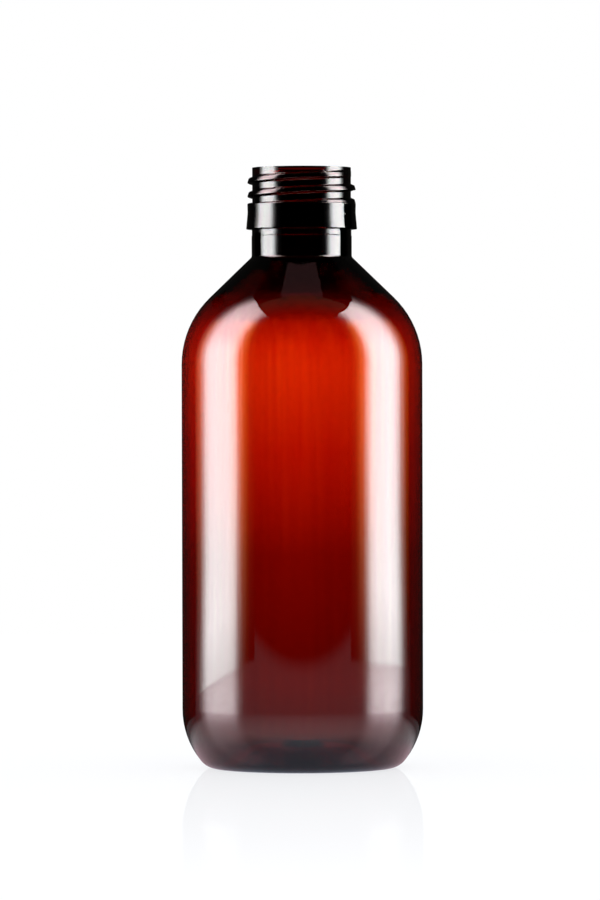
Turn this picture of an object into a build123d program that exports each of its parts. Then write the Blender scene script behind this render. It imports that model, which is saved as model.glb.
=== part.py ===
from build123d import *
import os
from math import cos, radians, sin, tan

# A 300 ml round amber PET medicine bottle with a 28 mm roll-on pilfer-proof neck.
# It is one stretch-blow-moulded piece: a thick injected neck finish, a shoulder whose wall
# thins as it opens out, a thin straight body, and a pushed-up base with radial ribs.
# Millimetres. The origin is the middle of the standing face, with +Z up through the mouth.
# The screw thread is a fine detail and is left off: the barrel is at the thread's root.

# ---- overall form ----
height = 152.0
body_diameter = 61.0
shoulder_radius = 23.6
shoulder_angle = 46.0      # slope of the cone between neck and shoulder, from the axis
heel_radius = 20.5
heel_angle = 38.0          # slope of the flank under the heel, from the axis
heel_flank = 2.89          # straight flank between the heel's round and the foot's corner

# ---- neck finish ----
barrel_diameter = 25.0     # root of the screw thread
lip_bevel = 0.45           # both edges of the rim
ring_drop = 9.0            # rim down to the top of the locking ring
ring_height = 6.6
ring_projection = 1.25     # top of the ring out from the barrel
ring_waist = 0.07          # how far the ring draws in at its waist
ring_waist_drop = 2.4      # top of the ring down to its waist
ring_waist_round = 6.0
ring_flare = 0.3           # foot of the ring out from its top
ring_bevel = 0.4
neck_step = 0.1            # neck under the ring, out from the barrel
split_drop = 17.2          # rim down to the line where the blow mould closes on the neck
split_step = 0.08          # how far the blown side stands proud of that line
neck_length = 22.6         # rim down to the corner of neck and cone
neck_round = 0.8

# ---- standing ring and push-up ----
foot_round = 5.0
stand_width = 3.6          # flat of the standing ring, corner to corner
stand_round = 1.5
push_up_angle = 30.0       # slope of the push-up, from the floor
push_up_height = 5.0
crown_round = 6.0
gate_diameter = 3.6        # stub left where the preform was injected
gate_length = 0.7

# ---- ribs of the push-up ----
rib_count = 10
rib_radius = 1.6
rib_depth = 0.7
rib_outer_gap = 2.4        # up the slope, from the standing ring's corner to the bar
rib_inner_gap = 2.8        # down the slope, from the crown's corner to the bar

# ---- wall ----
body_wall = 0.55
base_wall = 0.65
shoulder_wall = 0.6
wall_growth = 4.5          # degrees by which the inside of the cone opens away from the outside
finish_wall = 1.65         # barrel to bore
bore_length = 14.0         # straight part, down from the rim
bore_draft = 2.2           # degrees, below the straight part
bore_round = 3.0
gate_wall = 2.1
gate_disc_diameter = 8.8   # thick disc that the stretch did not reach
gate_disc_slope = 1.4      # width of the ramp round that disc

# Directions of the straight walls, in degrees from the radius, going up the bottle.
flank = 90 - heel_angle
cone = 90 + shoulder_angle
inner_cone = cone + wall_growth
push_up = 180 - push_up_angle


def along(point, direction, distance):
    """The point moved along a direction."""
    angle = radians(direction)
    return (point[0] + distance * cos(angle), point[1] + distance * sin(angle))


def crossing(point_a, direction_a, point_b, direction_b):
    """Where two straight walls meet, each given by a point (r, z) and a direction."""
    step_a, step_b = along((0, 0), direction_a, 1), along((0, 0), direction_b, 1)
    dr, dz = point_b[0] - point_a[0], point_b[1] - point_a[1]
    turn = step_a[0] * step_b[1] - step_a[1] * step_b[0]
    return along(point_a, direction_a, (dr * step_b[1] - dz * step_b[0]) / turn)


def turned(corners):
    """A solid of revolution from half its section: corners (r, z, round), from axis to axis."""
    points = [(r, z) for r, z, _ in corners]
    rounds = [radius for _, _, radius in corners[1:-1]]
    wall = FilletPolyline(*points, radius=rounds)
    section = make_face(wall + Line(points[-1], points[0]))
    return revolve(Plane.XZ * section, axis=Axis.Z)


# ---- radii, and the sharp corners that the round forms are set out from ----
body_r = body_diameter / 2
barrel_r = barrel_diameter / 2
neck_r = barrel_r + neck_step
blown_neck_r = neck_r + split_step
ring_top_r = barrel_r + ring_projection
ring_top_z = height - ring_drop
ring_foot_z = ring_top_z - ring_height
heel_inset = heel_radius * (1 - cos(radians(heel_angle)))
foot_r = body_r - heel_inset - heel_flank * sin(radians(heel_angle))
stand_r = foot_r - stand_width
heel_corner = crossing((foot_r, 0), flank, (body_r, 0), 90)
neck_corner = (blown_neck_r, height - neck_length)
shoulder_corner = crossing(neck_corner, cone, (body_r, 0), 90)
shoulder_top = along(shoulder_corner, cone, shoulder_radius * tan(radians(shoulder_angle / 2)))
crown_r = stand_r - push_up_height / tan(radians(push_up_angle))


def outside():
    """The shape of the moulds: neck tooling above the split line, blow mould below it."""
    gate_r = gate_diameter / 2
    gate_z = push_up_height - gate_length
    split_z = height - split_drop
    return turned([
        (0, gate_z, 0),
        (gate_r, gate_z, 0),
        (gate_r, push_up_height, 0),
        (crown_r, push_up_height, crown_round),
        (stand_r, 0, stand_round),
        (foot_r, 0, foot_round),
        (*heel_corner, heel_radius),
        (*shoulder_corner, shoulder_radius),
        (*neck_corner, neck_round),
        (blown_neck_r, split_z, 0),
        (neck_r, split_z, 0),
        (neck_r, ring_foot_z, 0),
        (ring_top_r + ring_flare, ring_foot_z, 0),
        (ring_top_r - ring_waist, ring_top_z - ring_waist_drop, ring_waist_round),
        (ring_top_r, ring_top_z - ring_bevel, 0),
        (ring_top_r - ring_bevel, ring_top_z, 0),
        (barrel_r, ring_top_z, 0),
        (barrel_r, height - lip_bevel, 0),
        (barrel_r - lip_bevel, height, 0),
        (0, height, 0),
    ])


def inside():
    """The space inside: each wall set in from the outside by its own thickness."""
    disc_r = gate_disc_diameter / 2
    disc_z = push_up_height + gate_wall
    crown_z = push_up_height + base_wall
    inner_r = body_r - body_wall
    bore_r = barrel_r - finish_wall
    slope_inside = along((stand_r, 0), push_up - 90, base_wall)
    flank_inside = along((foot_r, 0), flank + 90, base_wall)
    cone_inside = along(shoulder_top, cone + 90, shoulder_wall)
    crown_edge = crossing((0, crown_z), 0, slope_inside, push_up)
    stand_edge = crossing((0, base_wall), 0, slope_inside, push_up)
    foot_edge = crossing((0, base_wall), 0, flank_inside, flank)
    heel_edge = crossing(flank_inside, flank, (inner_r, 0), 90)
    shoulder_edge = crossing(cone_inside, inner_cone, (inner_r, 0), 90)
    bore_end = (bore_r, height - bore_length)
    neck_edge = crossing(cone_inside, inner_cone, bore_end, 90 - bore_draft)
    return turned([
        (0, disc_z, 0),
        (disc_r, disc_z, 0),
        (disc_r + gate_disc_slope, crown_z, 0),
        (*crown_edge, crown_round + base_wall),
        (*stand_edge, 0),
        (*foot_edge, foot_round - base_wall),
        (*heel_edge, heel_radius - body_wall),
        (*shoulder_edge, shoulder_radius - body_wall),
        (*neck_edge, bore_round),
        (*bore_end, 0),
        (bore_r, height - lip_bevel, 0),
        (bore_r + lip_bevel, height, 0),
        (0, height, 0),
    ])


def ribs(radius):
    """Bars with pointed ends up the slope of the push-up; their centre line lies under it."""
    under = rib_radius - rib_depth
    start = along(along((stand_r, 0), push_up, rib_outer_gap), push_up + 90, under)
    end = along(along((crown_r, push_up_height), push_up, -rib_inner_gap), push_up + 90, under)
    length = (Vector(*end) - Vector(*start)).length
    half = Polyline((-radius, 0), (0, radius), (length, radius), (length + radius, 0), close=True)
    slope = Plane(origin=(start[0], 0, start[1]), x_dir=(end[0] - start[0], 0, end[1] - start[1]),
                  z_dir=(0, -1, 0))
    bar = slope * revolve(make_face(half), axis=Axis.X)
    return [place * bar for place in PolarLocations(0, rib_count)]


def bottle():
    """Outside less inside; each rib is pressed in from below and the wall follows it."""
    shell = outside() - ribs(rib_radius)
    space = inside() - ribs(rib_radius + base_wall)
    return shell - space


os.makedirs("parts", exist_ok=True)
whole = bottle()
whole.label = "bottle"
export_step(whole, "parts/bottle.step")
print(f"bottle: wall {whole.volume / 1000:.2f} cm3, size {whole.bounding_box().size}")
print(f"holds to the brim: {inside().volume / 1000:.0f} cm3")
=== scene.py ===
# %% [markdown]
# # A round amber medicine bottle, blown in PET
#
# The real bottle is one piece of clear amber plastic. A short thick preform with its screw
# neck already finished is stretched and blown into a mould, so the neck keeps a wall of
# 1.65 mm while the body thins to about half a millimetre. Nothing is painted on it: all its
# colour is light that crossed the wall, and all its gloss is what stands round it. So this
# lesson spends its time on three things: an exact hollow wall, a plastic that swallows green
# and blue by thickness, and a small studio of cards that gives clear plastic something to show.
#
# The packed CAD part is loaded first. It fixes the size, and the finished piece replaces it.

import bpy
import numpy as np
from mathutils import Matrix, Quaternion, Vector


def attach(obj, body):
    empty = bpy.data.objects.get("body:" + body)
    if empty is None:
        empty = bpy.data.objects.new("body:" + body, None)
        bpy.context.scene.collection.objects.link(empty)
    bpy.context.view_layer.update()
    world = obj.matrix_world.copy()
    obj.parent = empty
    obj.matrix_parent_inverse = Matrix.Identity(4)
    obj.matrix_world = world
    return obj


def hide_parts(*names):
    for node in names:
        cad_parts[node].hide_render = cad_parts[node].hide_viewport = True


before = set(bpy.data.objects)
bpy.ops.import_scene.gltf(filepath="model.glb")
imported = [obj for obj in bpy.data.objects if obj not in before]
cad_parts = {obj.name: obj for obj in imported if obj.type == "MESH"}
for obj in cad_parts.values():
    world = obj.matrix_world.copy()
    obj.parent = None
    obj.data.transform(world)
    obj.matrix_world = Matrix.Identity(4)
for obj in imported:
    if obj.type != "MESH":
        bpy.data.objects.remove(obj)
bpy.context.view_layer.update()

print("packed nodes:", sorted(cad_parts))

# %% [markdown]
# ## The half section
#
# A bottle is turned about its axis, so its whole form is one line in a half plane: radius
# against height. It starts at the moulding stub under the base, runs out over the standing
# ring, up the body, over the rim and back down the inside. It could be drawn by hand as a
# curve, but a list of corners with a round on each is how the mould is drawn, and every size
# in it can be checked with a caliper. The sizes are in millimetres, as on the CAD part.

# %% Sizes of the bottle, in millimetres
HEIGHT = 152.0
BODY_R = 30.5
SHOULDER_ROUND = 23.6
CONE = 90 + 46.0            # direction of the cone under the neck, in degrees from the radius
HEEL_ROUND = 20.5
HEEL_TURN = np.radians(38)  # slope of the flank between standing ring and heel, from the axis
FLANK_RUN, FOOT_ROUND, STAND_WIDTH = 2.89, 5.0, 3.6
BARREL_R = 12.5             # root of the screw thread
LIP_ROUND = 0.45
RING_R = 13.75
RING_TOP = HEIGHT - 9.0
RING_FOOT = RING_TOP - 6.6
RING_FLARE = 0.3            # foot of the locking ring, out from its top
RING_WAIST, RING_WAIST_DROP, RING_WAIST_ROUND = 0.07, 2.4, 6.0
NECK_STEP, SPLIT_STEP = 0.1, 0.08
NECK_R = BARREL_R + NECK_STEP
BLOWN_NECK_R = NECK_R + SPLIT_STEP
SPLIT_Z = HEIGHT - 17.2     # where the two blow mould halves close on the neck tooling
NECK_CORNER, NECK_ROUND = (BLOWN_NECK_R, HEIGHT - 22.6), 0.8
PUSH_UP_SLOPE = 30.0        # slope under the base, in degrees from level
PUSH_UP = 180 - PUSH_UP_SLOPE
PUSH_UP_HEIGHT = 5.0
CROWN_ROUND, STAND_ROUND = 6.0, 1.5
GATE_R, GATE_Z = 1.8, 4.3   # stub left where the preform was injected
DISC_R, DISC_FOOT_R, DISC_TOP = 4.4, 5.8, 7.1   # thick disc inside, which was not stretched
BODY_WALL, BASE_WALL, SHOULDER_WALL, NECK_WALL = 0.55, 0.65, 0.6, 1.65
WALL_GROWTH = 4.5           # degrees by which the wall thickens up the cone
BORE_LENGTH, BORE_DRAFT, BORE_ROUND = 14.0, 2.2, 3.0
print("wall runs from", BODY_WALL, "mm in the body to", NECK_WALL, "mm in the neck")


# %% Two small tools for straight walls
def walk(point, direction, distance):
    """The point moved by a distance along a direction given in degrees from the radius."""
    a = np.radians(direction)
    return point[0] + distance * np.cos(a), point[1] + distance * np.sin(a)


def meet(p, direction_p, q, direction_q):
    """Where two straight walls cross.

    Solve p + s*u = q + t*v for s, with u and v the directions of the two walls.
    """
    a, b = np.radians(direction_p), np.radians(direction_q)
    dr, dz = q[0] - p[0], q[1] - p[1]
    s = (dr * np.sin(b) - dz * np.cos(b)) / np.sin(b - a)
    return p[0] + s * np.cos(a), p[1] + s * np.sin(a)


crossing = meet((0, 0), 45, (10, 0), 90)
print("a 45 degree slope meets a wall of radius 10 mm", round(crossing[1], 2), "mm up")


# %% Corners of the outside and of the inside
FLANK = 90 - np.degrees(HEEL_TURN)
FOOT_R = BODY_R - HEEL_ROUND * (1 - np.cos(HEEL_TURN)) - FLANK_RUN * np.sin(HEEL_TURN)
STAND_R = FOOT_R - STAND_WIDTH
CROWN_R = STAND_R - PUSH_UP_HEIGHT / np.tan(np.radians(PUSH_UP_SLOPE))
HEEL = meet((FOOT_R, 0), FLANK, (BODY_R, 0), 90)
SHOULDER = meet(NECK_CORNER, CONE, (BODY_R, 0), 90)
CONE_FOOT = walk(SHOULDER, CONE, SHOULDER_ROUND * np.tan(np.radians((CONE - 90) / 2)))

outside = [
    (0, GATE_Z, 0), (GATE_R, GATE_Z, 0.15), (GATE_R, PUSH_UP_HEIGHT, 0.15),
    (CROWN_R, PUSH_UP_HEIGHT, CROWN_ROUND), (STAND_R, 0, STAND_ROUND), (FOOT_R, 0, FOOT_ROUND),
    (*HEEL, HEEL_ROUND), (*SHOULDER, SHOULDER_ROUND), (*NECK_CORNER, NECK_ROUND),
    (BLOWN_NECK_R, SPLIT_Z - 0.1, 0.02), (NECK_R - 0.02, SPLIT_Z, 0.03),
    (NECK_R, SPLIT_Z + 0.1, 0.02), (NECK_R, RING_FOOT, 0.2),
    (RING_R + RING_FLARE, RING_FOOT, 0.18),
    (RING_R - RING_WAIST, RING_TOP - RING_WAIST_DROP, RING_WAIST_ROUND),
    (RING_R, RING_TOP, 0.4), (BARREL_R, RING_TOP + 0.02, 0.15),
    (BARREL_R, HEIGHT, LIP_ROUND),
]

bore_r = BARREL_R - NECK_WALL
inner_r = BODY_R - BODY_WALL
inner_cone = CONE + WALL_GROWTH
crown_z = PUSH_UP_HEIGHT + BASE_WALL
slope_in = walk((STAND_R, 0), PUSH_UP - 90, BASE_WALL)
flank_in = walk((FOOT_R, 0), FLANK + 90, BASE_WALL)
cone_in = walk(CONE_FOOT, CONE + 90, SHOULDER_WALL)
bore_end = (bore_r, HEIGHT - BORE_LENGTH)
inside = [
    (bore_r, HEIGHT, LIP_ROUND), (*bore_end, BORE_ROUND),
    (*meet(cone_in, inner_cone, bore_end, 90 - BORE_DRAFT), BORE_ROUND),
    (*meet(cone_in, inner_cone, (inner_r, 0), 90), SHOULDER_ROUND - BODY_WALL),
    (*meet(flank_in, FLANK, (inner_r, 0), 90), HEEL_ROUND - BODY_WALL),
    (*meet((0, BASE_WALL), 0, flank_in, FLANK), FOOT_ROUND - BASE_WALL),
    (*meet((0, BASE_WALL), 0, slope_in, PUSH_UP), 0.5),
    (*meet((0, crown_z), 0, slope_in, PUSH_UP), CROWN_ROUND + BASE_WALL),
    (DISC_FOOT_R, crown_z, 1.0), (DISC_R, DISC_TOP, 0.6), (0, DISC_TOP, 0),
]
print(len(outside), "corners outside,", len(inside), "inside")

# %% [markdown]
# ## From corners to a smooth line
#
# Each corner is swapped for an arc that touches both of its runs. The tangent points lie
# `round * tan(turn / 2)` from the corner, and the arc's points are turned about its centre in
# steps of a few degrees. A clear wall shows every shading fault twice, so each straight run
# also gets a point close to each of its ends: the soft normals of an arc then stay on the arc.


# %% Round the corners of a line
def rounded_line(corners, step=5.0, reach=0.4):
    """Points (r, z) along a line of corners (r, z, round).

    For a corner with unit directions u in and v out, the turn is the angle from u to v, the
    tangent length is round * tan(turn / 2), and the arc is centre + round * (-n rotated by
    0..turn), with n the normal of u on the side it turns to.
    """
    c = np.array([k[:2] for k in corners], float)
    pieces = [c[:1]]
    for i in range(1, len(c) - 1):
        u, v = c[i] - c[i - 1], c[i + 1] - c[i]
        u, v = u / np.linalg.norm(u), v / np.linalg.norm(v)
        turn = np.arctan2(u[0] * v[1] - u[1] * v[0], u @ v)
        radius = corners[i][2]
        start = c[i] - u * radius * abs(np.tan(turn / 2))
        side = np.array([-u[1], u[0]]) * np.sign(turn)
        angles = np.linspace(0, turn, max(4, int(abs(np.degrees(turn)) / step) + 2))[:, None]
        out = -side * np.cos(angles) + np.array([side[1], -side[0]]) * np.sin(angles)
        pieces.append(start + side * radius + out * radius)
    pieces.append(c[-1:])
    line = [pieces[0]]
    for a, b in zip(pieces[:-1], pieces[1:]):
        run = b[0] - a[-1]
        length = np.linalg.norm(run)
        if length > 3 * reach:
            line.append(a[-1] + run * np.array([[reach], [length - reach]]) / length)
        line.append(b)
    return np.concatenate(line)


section = rounded_line(outside + inside)
print(len(section), "points along the half section; length",
      round(np.linalg.norm(np.diff(section, axis=0), axis=1).sum(), 1), "mm")

# %% [markdown]
# ## Rows where the detail is
#
# The thread is a ridge that climbs the barrel, so the barrel needs rows closer together than
# the ridge is wide. The body's inner wall gets rows too, because a blown wall is never quite
# even. Rows are added by spacing: `np.interp` walks along the line and drops a point wherever
# the next one would be too far away for the zone it is in.


# %% Fill in rows
def refill(line, spacing):
    """The line with each segment cut into equal parts no longer than spacing(r, z) there."""
    mid = (line[:-1] + line[1:]) / 2
    parts = np.maximum(1, np.ceil(np.linalg.norm(np.diff(line, axis=0), axis=1)
                                  / spacing(mid[:, 0], mid[:, 1]) - 1e-6)).astype(int)
    where = np.concatenate([i + np.arange(n) / n for i, n in enumerate(parts)] + [[len(parts)]])
    rows = np.arange(len(line))
    return np.stack([np.interp(where, rows, line[:, k]) for k in (0, 1)], axis=1)


BARREL_FOOT = RING_TOP - 1.2        # the thread's foot reaches a little below the ring's top
RIBS_TOP = 8                        # the ribbed base lies below this height
THREAD_ROWS, RIB_ROWS, PLAIN_ROWS = 0.13, 1.2, 9.0


def spacing(r, z):
    """Row spacing: close on the threaded barrel, wider over the ribbed base, wide elsewhere."""
    threaded = (z > BARREL_FOOT) & (r > BARREL_R - 0.01)
    ribbed = (z < RIBS_TOP) & (r < STAND_R)
    return np.where(threaded, THREAD_ROWS, np.where(ribbed, RIB_ROWS, PLAIN_ROWS))


section = refill(section, spacing)
rim = int(np.argmax(section[:, 1]))
outer = np.arange(len(section)) <= rim
TURNS = 200
around = np.arange(TURNS) * 2 * np.pi / TURNS
R = np.repeat(section[:, :1], TURNS, axis=1)
Z = np.repeat(section[:, 1:], TURNS, axis=1)
print("grid:", R.shape[0], "rows by", TURNS, "columns")

# %% [markdown]
# ## The screw thread
#
# The thread is a right-handed ridge with one start and a pitch of 3.5 mm. On a lathe it would
# be a cut; in a mould it is a groove in the neck tooling. It could be swept along a helix and
# joined to the barrel, but here the barrel is a grid, so the ridge is simply how far each
# point moves out. Its centre climbs with the turn, and its section is a hump with a rounded
# crest, gentler above than below, because the cap pulls up against the lower flank.
# At its foot it grows out of the locking ring, and at the top it fades away over about a
# fifth of a turn, where a cap first finds it.

# %% The ridge as a height over the barrel
PITCH = 3.5
THREAD_HEIGHT = 1.22
THREAD_FOOT = 143.35        # centre of the ridge at the first pass over +X


def ease(x):
    """0 below 0, 1 above 1, and the smooth cubic 3x^2 - 2x^3 between."""
    x = np.clip(x, 0, 1)
    return x * x * (3 - 2 * x)


def thread_ridge(z, turn):
    """Height of the thread over its root at height z and angle turn.

    Centre of the ridge: THREAD_FOOT + PITCH * t / 2pi, for each t = turn + 2pi k. With d the
    distance above the centre, the crest is a slope 1 - 0.26 * ((d + 0.5) / 1.1)^1.3, the lower
    flank is ease((0.88 + d) / 0.42) and the upper flank ease((1.08 - d) / 0.5). Their product is
    the hump, and the higher of all passes counts.
    """
    height = np.zeros(np.broadcast(z, turn).shape)
    for k in (-1, 0, 1, 2):
        t = turn + 2 * np.pi * k
        d = z - THREAD_FOOT - PITCH * t / (2 * np.pi)
        crest = 1 - 0.26 * np.clip((d + 0.5) / 1.1, 0, 1) ** 1.3
        hump = crest * ease((0.88 + d) / 0.42) * ease((1.08 - d) / 0.5)
        lead_in = ease((4 * np.pi + 0.15 - t) / 1.3)
        height = np.maximum(height, THREAD_HEIGHT * hump * lead_in)
    return height


barrel = outer & (section[:, 1] > BARREL_FOOT)
rows = np.flatnonzero(barrel)
ridge = thread_ridge(Z[rows], around[None, :])
below_lip = ease((HEIGHT - 0.3 - Z[rows]) / 0.5)
R[rows] = np.maximum(R[rows], BARREL_R + ridge * below_lip)
print("thread crest radius:", round(float((BARREL_R + ridge).max()), 2), "mm")

# %% [markdown]
# ## The ribs of the push-up
#
# The base is pushed up so that the bottle stands on a ring, and ten ribs stiffen it. Each rib
# is a round bar pressed into the slope from below. In the grid it is a lift of the height:
# the bar's round top, seen across it, less the slope it sinks under. The inner wall is lifted
# by the same bar grown by the wall, so the plastic keeps its thickness over each rib.

# %% Lift the base over the ribs
RIBS, RIB_R, RIB_UNDER = 10, 1.6, 0.9
LOW_END, HIGH_END = 2.4, 2.8        # from each end of the slope to a bar's full width


def rib_lift(r, turn, grow):
    """How far a rib lifts the base at radius r and angle turn.

    Across the rib the bar stands sqrt(R^2 - y^2) over its own centre line, with y the distance
    from that line, and R shrinks to nothing at the bar's two pointed ends.
    """
    pitch = 2 * np.pi / RIBS
    off = (turn + pitch / 2) % pitch - pitch / 2
    y, x = r * np.sin(off), r * np.cos(off)
    slope = np.radians(PUSH_UP_SLOPE)
    along_bar = (STAND_R - x) / np.cos(slope)
    length = PUSH_UP_HEIGHT / np.sin(slope)
    radius = RIB_R + grow
    inside_ends = np.minimum(along_bar - LOW_END, length - HIGH_END - along_bar)
    ends = np.clip(inside_ends / radius + 1, 0, 1)
    top = np.sqrt(np.maximum((radius * ends) ** 2 - y ** 2, 0)) - RIB_UNDER - grow
    return np.maximum(top, 0) / np.cos(slope)


base = (section[:, 1] < RIBS_TOP) & (section[:, 0] < STAND_R) & (section[:, 0] > 2)
for side, grow in ((outer, 0.0), (~outer, BASE_WALL)):
    rows = np.flatnonzero(base & side)
    Z[rows] += rib_lift(R[rows], around[None, :], grow)
deepest = rib_lift(np.linspace(12, 21, 60)[:, None], around[None], 0).max()
print("deepest rib:", round(float(deepest), 2), "mm")

# %% [markdown]
# ## The uneven blown wall
#
# When the preform stretches, its wall runs into faint bands that follow the pull. The outside
# is set by the mould, so the unevenness is all inside. A few waves round the wall, each
# leaning and fading with height, move the inner wall by hundredths of a millimetre. In amber
# plastic that is enough to see as soft lighter and darker bands.


# %% Ripple the inner wall
BANDS_FROM, BANDS_TO = 12, 122      # heights between which the inner wall is uneven
BANDS_RISE, BANDS_FALL = 20, 22     # heights over which the bands come and go


def blown_bands(z, turn):
    """Sum of five waves a*sin(n*turn + lean*z + phase), in mm.

    They grow over BANDS_RISE above BANDS_FROM, and fade over BANDS_FALL below BANDS_TO.
    """
    waves = ((3, 0.011, 0.4, 0.014), (7, -0.02, 2.1, 0.010), (13, 0.008, 4.0, 0.008),
             (29, -0.004, 1.3, 0.004), (47, 0.003, 5.2, 0.003))
    total = sum(a * np.sin(n * turn + lean * z + phase) for n, lean, phase, a in waves)
    return total * ease((z - BANDS_FROM) / BANDS_RISE) * ease((BANDS_TO - z) / BANDS_FALL)


rows = np.flatnonzero(~outer & (section[:, 1] > BANDS_FROM) & (section[:, 1] < BANDS_TO))
R[rows] += blown_bands(Z[rows], around[None, :])
print("inner wall moves by up to", round(float(np.abs(blown_bands(60.0, around)).max()), 3), "mm")

# %% [markdown]
# ## One closed skin
#
# The grid becomes a mesh: a ring of vertices for each row and a single vertex at each pole,
# under the moulding stub and on the inside of the base. Quads join row to row and triangles
# close the poles. Going up the outside with the turn to the left, the faces point outwards,
# and they still do after the line has gone over the rim and down, because then they point
# into the empty inside. A light ray needs exactly that to know when it is in the plastic.


# %% Build a mesh from rows of points
def skin(name, r, z):
    """A closed skin from grids r and z of millimetres: rows along the section, columns round it.

    Vertex (i, j) is (r cos t, r sin t, z) with t = 2pi j / columns. The first and last rows
    shrink to one vertex each.
    """
    n, m = r.shape
    t = np.arange(m) * 2 * np.pi / m
    ring = np.stack([r * np.cos(t), r * np.sin(t), z], axis=-1)[1:-1].reshape(-1, 3)
    points = np.concatenate([[[0, 0, z[0, 0]]], ring, [[0, 0, z[-1, 0]]]]) * 0.001
    index = 1 + np.arange((n - 2) * m).reshape(n - 2, m)
    nxt = np.roll(index, -1, axis=1)
    quads = np.stack([index[:-1], nxt[:-1], nxt[1:], index[1:]], axis=-1).reshape(-1, 4)
    first = np.stack([np.zeros(m, int), nxt[0], index[0]], axis=-1)
    last = np.stack([index[-1], nxt[-1], np.full(m, len(points) - 1)], axis=-1)
    mesh = bpy.data.meshes.new(name)
    mesh.from_pydata(points.tolist(), [], first.tolist() + quads.tolist() + last.tolist())
    mesh.polygons.foreach_set("use_smooth", np.ones(len(mesh.polygons), bool))
    mesh.update()
    piece = bpy.data.objects.new(name, mesh)
    bpy.context.scene.collection.objects.link(piece)
    return piece


bottle = skin("amber_bottle", R, Z)
triangles = sum(len(p.vertices) - 2 for p in bottle.data.polygons)
print("amber_bottle:", len(bottle.data.vertices), "vertices,", triangles, "triangles")

# %% Put it in the frame in place of the plain CAD solid
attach(bottle, "root")
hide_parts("bottle")

# %% [markdown]
# ## A short hand for node trees
#
# A finish or a light in Blender is a tree of shader nodes. Wired by hand in the shader editor
# it is quick to try out, but in Python each node takes three or four lines. This small class
# makes a node, sets its inputs and links it in one call, so that a material below reads from
# the place it looks up to the light it gives.


# %% Make, set and link a node in one call
class Nodes:
    """A material's node tree: make a node, set its plain values, link it."""

    def __init__(self, name):
        self.material = bpy.data.materials.new(name)
        self.material.use_nodes = True
        self.tree = self.material.node_tree
        self.tree.nodes.clear()
        self.out = self.tree.nodes.new("ShaderNodeOutputMaterial")

    def add(self, kind, values=(), **settings):
        """A new node; settings are its own properties, values its inputs by name or number."""
        node = self.tree.nodes.new("ShaderNode" + kind)
        for key, value in settings.items():
            setattr(node, key, value)
        for key, value in dict(values).items():
            if isinstance(value, bpy.types.NodeSocket):
                self.tree.links.new(value, node.inputs[key])
            else:
                node.inputs[key].default_value = value
        return node

    def maths(self, operation, a, b=0.0, c=0.0):
        """One arithmetic step on numbers or sockets."""
        return self.add("Math", {0: a, 1: b, 2: c}, operation=operation).outputs[0]

    def fade(self, value, start, end, low=0.0, high=1.0, **settings):
        """A number that goes from low to high while value goes from start to end."""
        return self.add("MapRange", {"Value": value, "From Min": start, "From Max": end,
                                     "To Min": low, "To Max": high}, **settings).outputs[0]

    def blend(self, share, first, second, **settings):
        """A colour that goes from first to second while share goes from 0 to 1."""
        return self.add("Mix", {"Factor": share, 6: first, 7: second},
                        data_type="RGBA", **settings).outputs[2]

    def place(self):
        """The object's own coordinates, as one vector."""
        return self.add("TexCoord").outputs["Object"]

    def axes(self, vector=None):
        """The parts X, Y and Z of a vector, or of the object's own coordinates."""
        return self.add("SeparateXYZ", {"Vector": vector or self.place()}).outputs

    def light(self, colour, level):
        """A shader that gives off light."""
        return self.add("Emission", {"Color": colour, "Strength": level}).outputs[0]

    def black(self):
        """A shader that gives nothing back."""
        return self.add("BsdfDiffuse", {"Color": (0, 0, 0, 1)}).outputs[0]

    def clear(self):
        """A shader that a ray passes straight through."""
        return self.add("BsdfTransparent").outputs[0]

    def mix(self, share, first, second):
        """A shader that goes from first to second while share goes from 0 to 1."""
        return self.add("MixShader", {0: share, 1: first, 2: second}).outputs[0]

    def use(self, shader, socket="Surface"):
        """Link a shader to the material's output."""
        self.tree.links.new(shader, self.out.inputs[socket])
        return self.material


print("short hands:", ", ".join(key for key in vars(Nodes) if not key.startswith("_")))

# %% [markdown]
# ## Amber PET
#
# Clear plastic is a shader with full transmission and the right index of refraction, 1.57 for
# PET. The colour could be painted on as a tint, but then the thick neck would be as light as
# the thin body. So most of it is absorption inside the wall: blue dies first, then green, and
# red passes. A tint on the surface carries the small differences that a real moulding has, in
# faint upright streaks, and a little unevenness in roughness and height stands for the drag
# of the plastic on the mould and for handling.

# %% A group for moulded plastic: streaks, blotches and fine scuffs
# For each output: stretch of the noise, its scale and detail, and the range that becomes 0 to 1.
PATTERNS = {"Streaks": ((1, 1, 0.03), 700.0, 2.0, 0.3, 0.7),
            "Blotches": ((1, 1, 0.5), 45.0, 3.0, 0.3, 0.7),
            "Scuffs": ((1, 1, 0.6), 1300.0, 1.0, 0.66, 0.8)}


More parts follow.
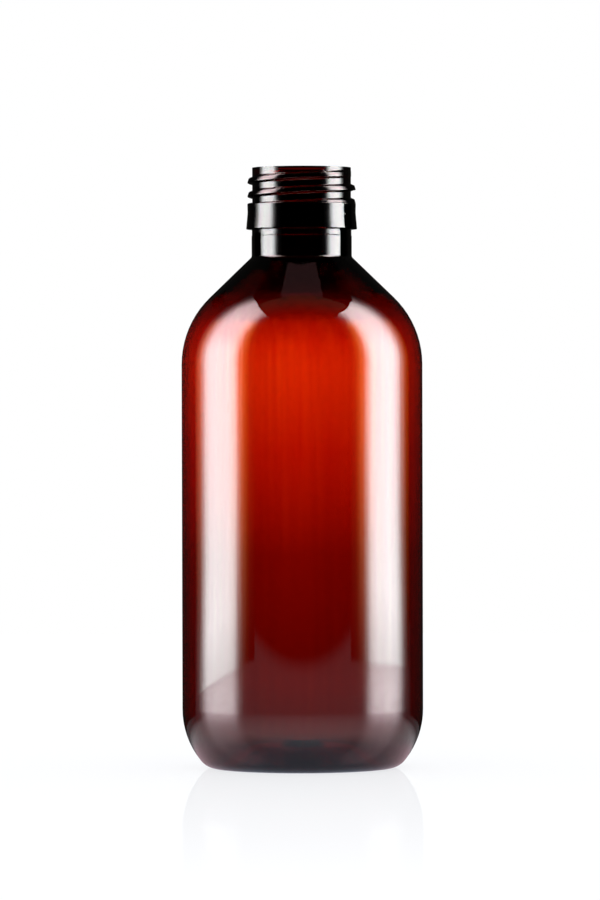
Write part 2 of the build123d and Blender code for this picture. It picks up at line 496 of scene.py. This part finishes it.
def moulded_plastic():
    """A group with streaks drawn out along Z, broad blotches, and sparse fine scuffs."""
    group = bpy.data.node_groups.new("moulded_plastic", "ShaderNodeTree")
    group.interface.new_socket("Place", in_out="INPUT", socket_type="NodeSocketVector")
    for name in PATTERNS:
        group.interface.new_socket(name, in_out="OUTPUT", socket_type="NodeSocketFloat")
    nodes, links = group.nodes, group.links
    start, end = nodes.new("NodeGroupInput"), nodes.new("NodeGroupOutput")
    for name, (stretch, scale, detail, low, high) in PATTERNS.items():
        mapping, noise = nodes.new("ShaderNodeMapping"), nodes.new("ShaderNodeTexNoise")
        spread = nodes.new("ShaderNodeMapRange")
        mapping.inputs["Scale"].default_value = stretch
        noise.inputs["Scale"].default_value = scale
        noise.inputs["Detail"].default_value = detail
        spread.inputs["From Min"].default_value = low
        spread.inputs["From Max"].default_value = high
        links.new(start.outputs["Place"], mapping.inputs["Vector"])
        links.new(mapping.outputs["Vector"], noise.inputs["Vector"])
        links.new(noise.outputs["Fac"], spread.inputs["Value"])
        links.new(spread.outputs["Result"], end.inputs[name])
    return group


plastic_detail = moulded_plastic()
print(plastic_detail.name, "gives", ", ".join(PATTERNS))

# %% The amber plastic itself
PET_INDEX = 1.57
PASSED, DENSITY = (0.81, 0.35, 0.0, 1), 4750.0
TINT, STREAK_TINT = (0.96, 0.62, 0.24, 1), (0.89, 0.33, 0.20, 1)
POLISHED, HAZY, SCUFFED = 0.012, 0.035, 0.02        # two roughnesses, and what a scuff adds


def amber_pet():
    """Principled plastic with full transmission, and absorption inside its wall.

    Of each colour the wall leaves exp(-DENSITY * (1 - PASSED) * distance), with the distance
    in metres.
    """
    n = Nodes("amber_pet")
    detail = n.add("Group", {"Place": n.place()}, node_tree=plastic_detail).outputs
    tint = n.blend(detail["Streaks"], TINT, STREAK_TINT)
    soft = n.fade(detail["Blotches"], 0.0, 1.0, POLISHED, HAZY)
    rough = n.maths("MULTIPLY_ADD", detail["Scuffs"], SCUFFED, soft)
    bump = n.add("Bump", {"Strength": 0.03, "Distance": 0.0002, "Height": detail["Streaks"]})
    plastic = n.add("BsdfPrincipled", {"Transmission Weight": 1.0, "IOR": PET_INDEX,
                                       "Base Color": tint, "Roughness": rough,
                                       "Normal": bump.outputs["Normal"]})
    wall = n.add("VolumeAbsorption", {"Color": PASSED, "Density": DENSITY})
    n.use(wall.outputs["Volume"], "Volume")
    return n.use(plastic.outputs["BSDF"])


bottle.data.materials.append(amber_pet())
left_over = [np.exp(-DENSITY * (1 - share) * BODY_WALL * 0.001) for share in PASSED[:3]]
print("one body wall leaves", [round(float(k), 2) for k in left_over], "of red, green and blue")

# %% [markdown]
# ## The table
#
# The bottle stands on a white table top. To the eye it is plain white with a soft dark line of
# contact and a faint mirror image that dies away from the foot. It is an object of the stage
# and not of the part. The bottle's gloss sees the table too, and there it is not evenly bright:
# it gives off painted light and shade. A painted shadow dims it behind the bottle and close
# before its foot, where the bottle keeps the light off. Painted pink light stands in for the
# light that comes out of the plastic there, and it is painted a little brighter further out.
# A lit plane could not be both, so the material gives each kind of ray its own answer, with
# the Light Path node.


# %% Tools for stage objects, and the table top
def staged(name, points, faces):
    """A stage object from vertices (..., 3) in metres and faces (n, 4)."""
    mesh = bpy.data.meshes.new(name)
    mesh.from_pydata(points.reshape(-1, 3).tolist(), [], faces.tolist())
    made = bpy.data.objects.new(name, mesh)
    bpy.context.scene.collection.objects.link(made)
    return made


def grid_faces(shape):
    """The quads between the vertices of a grid that are numbered row by row."""
    index = np.arange(shape[0] * shape[1]).reshape(shape)
    corners = index[:-1, :-1], index[1:, :-1], index[1:, 1:], index[:-1, 1:]
    return np.stack(corners, -1).reshape(-1, 4)


def sheet_of(name, corner, along_u, along_v):
    """A flat sheet: corner + u*along_u + v*along_v for u and v from 0 to 1, in metres."""
    u, v = np.meshgrid((0.0, 1.0), (0.0, 1.0), indexing="ij")
    points = np.array(corner) + u[..., None] * np.array(along_u) + v[..., None] * np.array(along_v)
    return staged(name, points, grid_faces(u.shape))


TABLE_FRONT, TABLE_DEPTH, TABLE_WIDTH = -0.66, 1.46, 1.6
table = sheet_of("table_top", (-TABLE_WIDTH / 2, TABLE_FRONT, 0), (TABLE_WIDTH, 0, 0),
                 (0, TABLE_DEPTH, 0))
print("table top:", TABLE_WIDTH, "by", TABLE_DEPTH, "m")

# %% What the eye sees of the table
SHADED, OWN_LIGHT = 0.18, (0.83, 0.84, 0.86, 1)     # the part a shadow can take, and the rest
MIRROR_SHARE, MIRROR_FROM, MIRROR_TO = 0.13, 0.03, 0.34


def table_to_eye(n, away):
    """A white with the bottle's shadow, and a mirror whose share fades as away grows.

    Here and below, away is the distance from the bottle's axis in metres.
    """
    paper = n.add("BsdfDiffuse", {"Color": (SHADED, SHADED, SHADED, 1)}).outputs[0]
    white = n.add("AddShader", {0: paper, 1: n.light(OWN_LIGHT, 1.0)}).outputs[0]
    mirror = n.add("BsdfGlossy", {"Roughness": 0.0, "Color": (1, 1, 1, 1)}).outputs[0]
    return n.mix(n.fade(away, MIRROR_FROM, MIRROR_TO, MIRROR_SHARE, 0.0), white, mirror)


print("the table mirrors a share of", MIRROR_SHARE, "at the foot, and none from", MIRROR_TO, "m")

# %% What the bottle's gloss sees of it
# Levels and colours of the table's painted light and shade, seen only by the bottle's gloss: a
# painted shadow before the foot and behind the bottle, and painted light further out.
SHADOW_AT_FOOT, SHADOW_BEHIND, LIT_FURTHER_OUT, SHADE_THROUGH_PLASTIC = 0.5, 0.2, 1.05, 0.01
FOOT_SHADE_COOL, FOOT_LIGHT_PINK = (0.80, 0.90, 1.12, 1), (1.05, 0.72, 0.81, 1)
FAR_LIGHT_WHITE = (1.0, 0.93, 0.98, 1)


def table_painted_light(n, away, axes, through):
    """Painted light and shade of the table as the gloss sees it: near * far * behind.

    near is a painted shadow, SHADOW_AT_FOOT in an oval before the foot; far is painted light that
    grows to LIT_FURTHER_OUT further out; behind is a painted shadow that falls to SHADOW_BEHIND
    behind the bottle;
    and a ray that crossed the plastic finds only the painted shade SHADE_THROUGH_PLASTIC.
    """
    squeezed = n.add("VectorMath", {0: n.place(), 1: (0.6, 1.0, 1.0)}, operation="MULTIPLY")
    oval = n.add("VectorMath", {0: squeezed.outputs[0]}, operation="LENGTH").outputs["Value"]
    aside = n.fade(n.maths("ABSOLUTE", axes["X"]), 0.019, 0.034)
    clear_of_foot = n.maths("MAXIMUM", n.fade(oval, 0.031, 0.042), aside)
    foot_shadow = n.fade(clear_of_foot, 0.0, 1.0, SHADOW_AT_FOOT, 1.0)
    far = n.fade(away, 0.08, 0.33, 1.0, LIT_FURTHER_OUT)
    behind = n.fade(axes["Y"], 0.012, 0.035, 1.0, SHADOW_BEHIND)
    level = n.maths("MULTIPLY", n.maths("MULTIPLY", foot_shadow, far), behind)
    return n.add("Mix", {"Factor": through, "A": level, "B": SHADE_THROUGH_PLASTIC}).outputs[0]


def table_painted_light_colour(n, away, axes):
    """Colour of the table's painted light: bluish in the painted shade before the foot, pink at
    both sides of it, and nearly white further out.
    """
    foot = n.blend(n.fade(n.maths("ABSOLUTE", axes["X"]), 0.012, 0.026), FOOT_SHADE_COOL, FOOT_LIGHT_PINK)
    return n.blend(n.fade(away, 0.033, 0.045), foot, FAR_LIGHT_WHITE)


print("to the gloss the table has", SHADOW_AT_FOOT, "of its light before the foot,", SHADOW_BEHIND, "behind it")

# %% The table's material
# The table's gloss is painted darker and pinker near the bottle: painted shade in its reflection.
SHEEN_NEAR_PAINTED_SHADE, SHEEN_FAR, TABLE_ROUGH = (0.60, 0.49, 0.53, 1), (0.97, 0.90, 0.92, 1), 0.16
SOFT_EDGE = -0.53       # the table's front edge fades in up to here, in metres


def table_white():
    """White to the eye, less the bottle's shadow. To the bottle it is gloss over a dim white of
    painted light, with painted shade near the bottle in both.
    """
    n = Nodes("table_white")
    ray = n.add("LightPath").outputs
    axes = n.axes()
    away = n.add("VectorMath", {0: n.place()}, operation="LENGTH").outputs["Value"]
    # body is the table's painted light and shade, as the bottle's gloss sees it.
    body = n.light(table_painted_light_colour(n, away, axes),
                   table_painted_light(n, away, axes, ray["Is Transmission Ray"]))
    # The gloss colour is painted darker near the bottle, as painted shade in the reflection.
    sheen = n.blend(n.fade(away, 0.05, 0.4), SHEEN_NEAR_PAINTED_SHADE, SHEEN_FAR)
    gloss = n.add("BsdfGlossy", {"Roughness": TABLE_ROUGH, "Color": sheen}).outputs[0]
    lit = n.mix(n.add("Fresnel", {"IOR": 1.5}).outputs[0], body, gloss)
    to_bottle = n.mix(n.fade(axes["Y"], TABLE_FRONT, SOFT_EDGE), n.clear(), lit)
    return n.use(n.mix(ray["Is Camera Ray"], to_bottle, table_to_eye(n, away)))


table.data.materials.append(table_white())
print("table top in place; its edge", -TABLE_FRONT, "m before the bottle is soft to the gloss")

# %% [markdown]
# ## The glow behind the bottle
#
# Amber plastic is only bright where something bright is behind it. That could be a lamp or a
# bright wall, but then the bottle would glow evenly. Here it is a card bent round the bottle
# with a band of light in its middle: dark behind the neck, full behind the upper body and
# dying away to the foot. It is a little stronger at the bottle's left edge than at its right.
# The card is seen by light that has crossed the plastic and by nothing else, so it stands
# behind the bottle from every side and lights nothing.


# %% A card bent round the bottle
def bent_card(name, radius, low, high, cut=96):
    """An upright cylinder wall: (radius cos t, radius sin t, low..high), in metres."""
    t = np.linspace(0, 2 * np.pi, cut, endpoint=False)
    ring = np.stack([radius * np.cos(t), radius * np.sin(t)], -1)
    points = np.concatenate([np.c_[ring, np.full(cut, low)], np.c_[ring, np.full(cut, high)]])
    i, j = np.arange(cut), np.roll(np.arange(cut), -1)
    return staged(name, points, np.stack([i, j, j + cut, i + cut], -1))


def seen_by(thing, **kinds):
    """Hide a stage object from every kind of ray except the ones named."""
    for kind in ("camera", "diffuse", "glossy", "transmission", "volume_scatter", "shadow"):
        setattr(thing, "visible_" + kind, bool(kinds.get(kind, False)))


GLOW_R, CARD_TOP = 0.0325, 0.32
glow_card = bent_card("glow_card", GLOW_R, 0.0, CARD_TOP)
seen_by(glow_card, transmission=True)
print("glow card at", GLOW_R, "m from the axis")

# %% Its light
# Brightness by height in metres, and how much green and blue the light still has there.
GLOW = ((0.0, 0.0, 0.2), (0.003, 0.02, 0.2), (0.0065, 0.12, 0.2), (0.0137, 0.135, 0.2),
        (0.019, 0.165, 0.2), (0.027, 0.165, 0.2), (0.053, 0.265, 0.2), (0.08, 0.665, 0.45),
        (0.098, 0.96, 1.0), (0.1075, 1.05, 1.0), (0.1134, 0.8, 0.9), (0.1162, 0.37, 0.7),
        (0.119, 0.2, 0.5), (0.1225, 0.085, 0.4), (0.126, 0.048, 0.4), (0.1285, 0.03, 0.4),
        (0.130, 0.010, 0.4), (0.1315, 0.0008, 0.4), (0.1503, 0.0005, 0.5),
        (0.151, 0.11, 1.0), (0.158, 0.11, 1.0))
GLOW_TOP = GLOW[-1][0]
GLOW_STRENGTH, LEFT_GAIN, RIGHT_GAIN = 2.2, 1.45, 0.85


def ramp_of(n, value, stops):
    """A colour ramp through (place, colour) stops, with places from 0 to 1."""
    ramp = n.add("ValToRGB", {"Fac": value})
    made = ramp.color_ramp.elements
    for i, (place, colour) in enumerate(stops):
        stop = made[i] if i < 2 else made.new(place)
        stop.position, stop.color = place, (*colour, 1)
    return ramp.outputs["Color"]


def glow_light():
    """Emission whose strength follows the height through a colour ramp, with two side gains."""
    n = Nodes("glow_light")
    axes = n.axes()
    stops = [(z / GLOW_TOP, (level, level * green, level * green)) for z, level, green in GLOW]
    colour = ramp_of(n, n.maths("DIVIDE", axes["Z"], GLOW_TOP), stops)
    left = n.fade(axes["X"], -0.022, -0.031, GLOW_STRENGTH, LEFT_GAIN * GLOW_STRENGTH)
    right = n.fade(axes["X"], 0.022, 0.031, 1.0, RIGHT_GAIN)
    return n.use(n.light(colour, n.maths("MULTIPLY", left, right)))


glow_card.data.materials.append(glow_light())
print("glow card:", len(GLOW), "steps of brightness")

# %% [markdown]
# ## A louvre before the glow
#
# The card's light should leave it mostly straight ahead, as from a screen in a deep frame, so
# that the bottle's sides stay dark. A dimmer edge could be painted, but it would be right from
# one side only. A louvre does it from every side: thin black fins on end and thin black rings
# laid flat, between which a slanting ray can't slip.


# %% Fins and rings
def strips_of(name, inner, outer_edge):
    """A mesh of four-sided strips between two sets of lines, each (lines, points, 3).

    Quad k, i has the corners inner[k, i], inner[k, i+1], outer[k, i+1] and outer[k, i].
    """
    lines, count = inner.shape[:2]
    k, i = np.arange(lines)[:, None] * 2 * count, np.arange(count - 1)[None]
    quads = np.stack([k + i, k + i + 1, k + count + i + 1, k + count + i], -1)
    return staged(name, np.stack([inner, outer_edge], 1), quads.reshape(-1, 4))


def on_cylinder(radius, t, z):
    """Points (radius cos t, radius sin t, z) over two grids of angle and height."""
    return np.stack([radius * np.cos(t), radius * np.sin(t), z], -1)


LOUVRE_R = GLOW_R - 0.0002
FINS, FIN_DEPTH = 1440, 0.000038
RINGS, RING_DEPTH, RING_STEP, FIRST_RING, RING_POINTS = 640, 0.00014, 0.00025, 0.0001, 97
t, z = np.meshgrid(np.linspace(0, 2 * np.pi, FINS, endpoint=False), (0.0, CARD_TOP),
                   indexing="ij")
fins = strips_of("upright_fins", on_cylinder(LOUVRE_R - FIN_DEPTH, t, z),
                 on_cylinder(LOUVRE_R, t, z))
z, t = np.meshgrid(np.arange(RINGS) * RING_STEP + FIRST_RING,
                   np.linspace(0, 2 * np.pi, RING_POINTS), indexing="ij")
rings = strips_of("flat_rings", on_cylinder(LOUVRE_R - RING_DEPTH, t, z),
                  on_cylinder(LOUVRE_R, t, z))
louvre_black = Nodes("louvre_black")
louvre_black.use(louvre_black.black())
for part in (fins, rings):
    part.data.materials.append(louvre_black.material)
    seen_by(part, transmission=True)
print("louvre:", FINS, "fins and", RINGS, "rings")

# %% [markdown]
# ## The dark room
#
# The gloss of a bottle is a picture of the room. In a bright room it would be grey all over
# and lose its colour, so the room is dark: a black dome that only gloss can see. The world
# outside it stays white for the background. The soft boxes and cards below are seen by gloss
# alone too, and the clean mirror of the table looks through them and through the dome, so
# that the table mirrors the bottle on a plain white ground.


# %% The dark dome
def dome(name, radius, cut=48):
    """A ball round the set, of a radius in metres.

    Points are R * (cos a cos t, cos a sin t, sin a) for a from -90 to 90 degrees.
    """
    a, t = np.meshgrid(np.linspace(-np.pi / 2, np.pi / 2, cut // 2 + 1),
                       np.linspace(0, 2 * np.pi, cut, endpoint=False), indexing="ij")
    made = skin(name, radius * 1000 * np.cos(a), radius * 1000 * np.sin(a))
    return made


def show(n, shader):
    """Use a shader as the surface; a perfectly clean mirror looks straight through it."""
    return n.use(n.mix(n.add("LightPath").outputs["Is Singular Ray"], shader, n.clear()))


def plain_light(name, level, colour=(1, 0.95, 0.9)):
    """A flat stage light of one level; level 0 is black."""
    n = Nodes(name)
    return show(n, n.light((*colour, 1), level))


dark_dome = dome("dark_dome", 1.25)
seen_by(dark_dome, glossy=True)
dark_dome.data.materials.append(plain_light("room_dark", 0.0))
print("dark dome:", len(dark_dome.data.polygons), "faces")

# %% [markdown]
# ## Two soft boxes
#
# Two tall soft boxes stand at the sides, and each shows in the gloss as one long white strip.
# An area lamp would give a strip with hard even edges. The cloth of a real soft box is
# brightest in its middle, so each box is a curved sheet whose light rises and falls round it,
# and which is a little weaker at its foot and towards its top.

# %% Light round a soft box
CLOTH_FROM, CLOTH_TO = 46.0, 120.0
# The cloth's light at each angle off the front.
LEFT_CLOTH = ((46, 0), (53.5, 0.05), (57, 0.35), (60, 1.4), (63.5, 5.8), (68, 12), (73, 14),
              (88, 13.2), (97, 10.8), (101.7, 6.8), (106.4, 2.5), (111, 0.5), (116, 0.1), (120, 0))
RIGHT_CLOTH = ((46, 0), (53.5, 0.05), (57, 0.3), (60, 1.4), (63.5, 5.8), (68, 12), (73, 15),
               (88, 15.3), (97, 11.8), (102, 7.0), (106.3, 2.5), (111, 0.5), (116, 0.03), (120, 0))


def round_ramp(n, value, levels, low, high, peak):
    """A ramp through (angle, level) stops for angles from low to high, as a share of peak."""
    stops = [((angle - low) / (high - low), [level / peak] * 3) for angle, level in levels]
    return ramp_of(n, value, stops)


def cloth_light(levels, blush, peak=20.0):
    """Light cloth: a ramp round the box gives its light, which is less at the foot and the top.

    With u round the box and v up it, the ramp is read at u * spread + flare * (1 - u)^2, so the
    inner edge bends outwards a little at the foot and inwards towards the top. The colour
    turns from white to blush above v = 0.2.
    """
    n = Nodes("cloth_light")
    uv = n.axes(n.add("UVMap").outputs["UV"])
    spread = n.fade(uv["Y"], 0.0, 0.05, 0.955, 1.0)
    flare = n.fade(uv["Y"], 0.45, 1.0, 0.0, 0.14)
    inward = n.maths("POWER", n.maths("SUBTRACT", 1.0, uv["X"]), 2.0)
    place = n.maths("ADD", n.maths("MULTIPLY", uv["X"], spread),
                    n.maths("MULTIPLY", flare, inward))
    cloth = round_ramp(n, place, levels, CLOTH_FROM, CLOTH_TO, peak)
    hue = n.blend(n.fade(uv["Y"], 0.2, 0.35), (1, 1, 1, 1), blush)
    cloth = n.blend(1.0, cloth, hue, blend_type="MULTIPLY")
    top = n.fade(uv["Y"], 0.25, 1.0, 1.0, 0.5)
    foot = n.fade(uv["Y"], 0.0, 0.02, 0.78, 1.0)
    return show(n, n.light(cloth, n.maths("MULTIPLY", n.maths("MULTIPLY", top, foot), peak)))


for side, levels in (("left", LEFT_CLOTH), ("right", RIGHT_CLOTH)):
    angle, level = max(levels, key=lambda stop: stop[1])
    print(side, "cloth is brightest, at", level, "times white,", angle, "degrees off the front")


# %% The soft boxes
def curved_sheet(name, at, cut=(13, 9)):
    """A stage sheet from a function at(u, v) of two grids from 0 to 1, with u, v as its UV map."""
    u, v = np.meshgrid(np.linspace(0, 1, cut[0]), np.linspace(0, 1, cut[1]), indexing="ij")
    faces = grid_faces(u.shape)
    made = staged(name, np.stack(at(u, v), -1), faces)
    uv = made.data.uv_layers.new(name="UVMap")
    uv.data.foreach_set("uv", np.stack([u.ravel(), v.ravel()], -1)[faces.ravel()].ravel())
    return made


def soft_box(name, side, from_distance, to_distance, bulge, bulge_from, bulge_to):
    """A curved upright sheet, with u round it and v up it from 0 to 1.

    Its angle off the front and its distance d run evenly with u between their ends. Its height
    is v * (1.6 d + 0.115) * (1 + bulge * b), where b is half a sine wave over the u from
    bulge_from to bulge_to. Its far edge leans back by 0.1 v.
    """
    def at(u, v):
        a = np.radians(CLOTH_FROM + (CLOTH_TO - CLOTH_FROM) * u * (1 + 0.1 * v))
        d = from_distance + (to_distance - from_distance) * u
        b = np.sin(np.pi * np.clip((u - bulge_from) / (bulge_to - bulge_from), 0, 1))
        return side * d * np.sin(a), -d * np.cos(a), v * (1.6 * d + 0.115) * (1 + bulge * b)
    return curved_sheet(name, at)


left = soft_box("left_soft_box", -1, 0.64, 0.36, 0.13, 0.2, 0.9)
right = soft_box("right_soft_box", 1, 0.63, 0.56, 0.31, 0.1, 0.74)
left.data.materials.append(cloth_light(LEFT_CLOTH, (1.03, 0.80, 0.82, 1)))
right.data.materials.append(cloth_light(RIGHT_CLOTH, (1.0, 0.86, 0.87, 1)))
print("soft boxes stand from", CLOTH_FROM, "to", CLOTH_TO, "degrees off the front")

# %% [markdown]
# ## Warm edges and a shaded neck
#
# Where a white strip ends on amber plastic its edge is orange, because the light that went in
# beside the gloss comes back through the wall. A painted edge on the far soft boxes would put
# that orange on the black neck too. So it comes from clear sheets close round the body: what
# stands this close is mirrored at its own height, and the neck never sees it. A flat collar
# above them is black to the neck and clear to the shoulder, and two small flags keep the
# soft boxes' light off the far sides of the neck.

# %% The warm sheets
WARM_R, WARM_HIGH = 0.036, 0.126
WARM_FROM, WARM_TO, ORANGE = 26.0, 76.0, (1, 0.25, 0.01, 1)
# Light of the clear sheet at each angle off the front, as the bottle's body mirrors it.
WARM = ((26, 0), (29.7, 0.5), (31.8, 2.6), (34, 5.5), (35.9, 6.2), (37.9, 6), (40.6, 4),
        (43.8, 1.5), (53.5, 0), (60, 0), (62, 0.6), (65.2, 1.6), (68.4, 2.2), (72.1, 1.0), (76, 0))


def warm_light(peak=10.0):
    """A clear sheet that adds a little orange light, most of it level with the upper body."""
    n = Nodes("warm_light")
    uv = n.axes(n.add("UVMap").outputs["UV"])
    round_it = round_ramp(n, uv["X"], WARM, WARM_FROM, WARM_TO, peak)
    orange = n.blend(1.0, round_it, ORANGE, blend_type="MULTIPLY")
    z = n.maths("MULTIPLY", uv["Y"], WARM_HIGH)
    rise = n.fade(z, 0.012, 0.105, interpolation_type="SMOOTHSTEP")
    fall = n.fade(z, WARM_HIGH, 0.119, interpolation_type="SMOOTHSTEP")
    light = n.light(orange, n.maths("MULTIPLY", n.maths("MULTIPLY", rise, fall), peak))
    return show(n, n.add("AddShader", {0: light, 1: n.clear()}).outputs[0])


def near_sheet(name, side, angles, heights, cut):
    """An upright sheet at WARM_R from the axis, between two angles off the front on one side."""
    def at(u, v):
        a = np.radians(angles[0] + (angles[1] - angles[0]) * u)
        z = heights[0] + v * (heights[1] - heights[0])
        return side * WARM_R * np.sin(a), -WARM_R * np.cos(a), z
    return curved_sheet(name, at, cut)


for name, side in (("left_warm_sheet", -1), ("right_warm_sheet", 1)):
    sheet = near_sheet(name, side, (WARM_FROM, WARM_TO), (0, WARM_HIGH), (33, 2))
    sheet.data.materials.append(warm_light())
    seen_by(sheet, glossy=True)
print("warm sheets at", WARM_R, "m from the axis")


# %% The collar and the flags
def one_way_black():
    """Black from the side its normal points to, and clear from behind."""
    n = Nodes("one_way_black")
    return show(n, n.mix(n.add("NewGeometry").outputs["Backfacing"], n.black(), n.clear()))


COLLAR_Z = 0.128
collar = sheet_of("collar", (-WARM_R, -WARM_R, COLLAR_Z), (2 * WARM_R, 0, 0),
                  (0, 2 * WARM_R, 0))
collar.data.materials.append(one_way_black())
seen_by(collar, glossy=True)

# The left flag ends below the locking ring, and the right one also narrows the ring's strip.
FLAG_FOOT, FLAG_TURN = 0.1283, 25
for name, side, angle, top in (("left_flag", -1, 92.5, 0.1363), ("right_flag", 1, 85.0, 0.1435)):
    flag = near_sheet(name, side, (angle, angle + FLAG_TURN), (FLAG_FOOT, top), (9, 2))
    flag.data.materials.append(plain_light("flag_black", 0.0))
    seen_by(flag, glossy=True)
print("collar at", COLLAR_Z, "m, and two flags beside the neck")

# %% [markdown]
# ## A card behind, a board and a boom above
#
# Three more sheets finish the picture in the gloss. A nearly black card behind the bottle
# stops its edges from shining. A dim warm board high in front gives the shoulder its faint
# sheen, and a pink boom over the bottle does the same for what looks straight up. Lamps could
# do this too, but each would leave a small bright spot on the round shoulder.


# %% The dark card, the board and the boom
def board_light(level):
    """Dim light of the board, which dies away towards its front edge."""
    n = Nodes("board_light")
    return show(n, n.light((1, 0.8, 0.5, 1), n.fade(n.axes()["Y"], -0.42, -0.1, 0.0, level)))


black_card = sheet_of("black_card", (-0.14, 0.065, 0), (0.28, 0, 0), (0, 0, 0.3))
black_card.data.materials.append(plain_light("card_dark", 0.012))
BOARD_Z = 1.0
board = sheet_of("ceiling_board", (-0.5, -0.45, BOARD_Z), (1.0, 0, 0), (0, 0.45, 0))
board.data.materials.append(board_light(0.135))
boom = sheet_of("boom", (-0.2, 0.0, BOARD_Z), (0.4, 0, 0), (0, 0.2, 0))
boom.data.materials.append(plain_light("boom_light", 0.22, (1, 0.45, 0.47)))
for thing in (left, right, black_card, board, boom):
    seen_by(thing, glossy=True)
print("dark card, board and boom in place")

# %% [markdown]
# ## World, camera and finish
#
# The world is plain white at strength 1, which is both the background and an even light at
# which a colour looks as it is written. The camera stands 1.4 m away, a little above the
# middle of the bottle, with a long lens, so the bottle's sides look parallel. A short lens
# close by would open the rim and the foot into wide curves.

# %% World
world = bpy.data.worlds.new("white_studio")
bpy.context.scene.world = world
world.use_nodes = True
world.node_tree.nodes["Background"].inputs["Color"].default_value = (1, 1, 1, 1)
world.node_tree.nodes["Background"].inputs["Strength"].default_value = 1.0
print("world:", world.name)

# %% Camera
CAMERA_X, CAMERA_DISTANCE, CAMERA_Z = -0.00055, 1.4, 0.093
LOOK_Z, ROLL = 0.0805, -0.14        # height looked at in metres, and the camera's roll in degrees
lens = bpy.data.cameras.new("camera")
lens.lens, lens.sensor_width = 221.0, 36.0
lens.clip_start, lens.clip_end = 0.05, 20.0
camera = bpy.data.objects.new("camera", lens)
bpy.context.scene.collection.objects.link(camera)
camera.location = (CAMERA_X, -CAMERA_DISTANCE, CAMERA_Z)
look = Vector((CAMERA_X, 0, LOOK_Z)) - camera.location
roll = Quaternion((0, 0, 1), np.radians(ROLL))
camera.rotation_mode = "QUATERNION"
camera.rotation_quaternion = look.to_track_quat("-Z", "Y") @ roll
bpy.context.scene.camera = camera
print("camera", CAMERA_DISTANCE, "m away with a", lens.lens, "mm lens")

# %% Bounces that clear plastic needs
scene = bpy.context.scene
scene.view_settings.view_transform = "Standard"
scene.cycles.max_bounces = 20
scene.cycles.transmission_bounces = 20
scene.cycles.glossy_bounces = 8
print("a ray may cross", scene.cycles.transmission_bounces, "surfaces of plastic")
